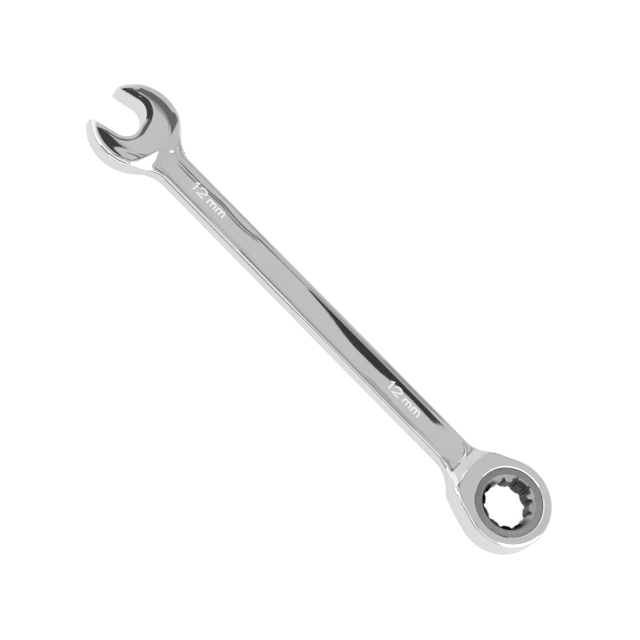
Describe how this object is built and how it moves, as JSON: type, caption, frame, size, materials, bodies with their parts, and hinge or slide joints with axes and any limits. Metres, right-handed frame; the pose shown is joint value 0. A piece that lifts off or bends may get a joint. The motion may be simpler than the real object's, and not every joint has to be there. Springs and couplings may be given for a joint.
{
  "type": "ratcheting combination wrench",
  "caption": "Polished combination wrench with an angled open jaw at one end and a ratcheting twelve-point ring at the other.",
  "frame": {"origin": "on the ratchet axis, at the height of the ring head's underside", "axes": "+X along the shank from the open end towards the ring, +Z along the ratchet axis, up out of the face that carries the size marks, +Y completes the frame"},
  "size_m": [0.172, 0.0262, 0.0088],
  "materials": {
    "polished_chrome": "polished chrome plate with a light satin",
    "gear_steel": "turned face, grey phosphate",
    "pawl_steel": "hardened, oiled",
    "spring_steel": "bright drawn wire",
    "ring_steel": "black oiled spring steel",
    "etched_mark": "matte etched size mark"
  },
  "bodies": {
    "body": {"wrench_body": "polished_chrome", "retaining_ring": "ring_steel", "pawl_spring": "spring_steel"},
    "gear": {"ratchet_gear": "gear_steel"},
    "pawl": {"pawl": "pawl_steel"}
  },
  "joints": [
    {"name": "gear_spin", "type": "hinge", "parent": "body", "child": "gear", "pos_m": [0, 0, 0.0044], "axis": [0, 0, 1], "continuous": true},
    {"name": "pawl_slide", "type": "slide", "parent": "body", "child": "pawl", "axis": [-1, 0, 0], "range_m": [0, 0.0006], "stiffness_N_per_m": 800, "springref_m": -0.0015, "deforming": ["pawl_spring"]}
  ]
}
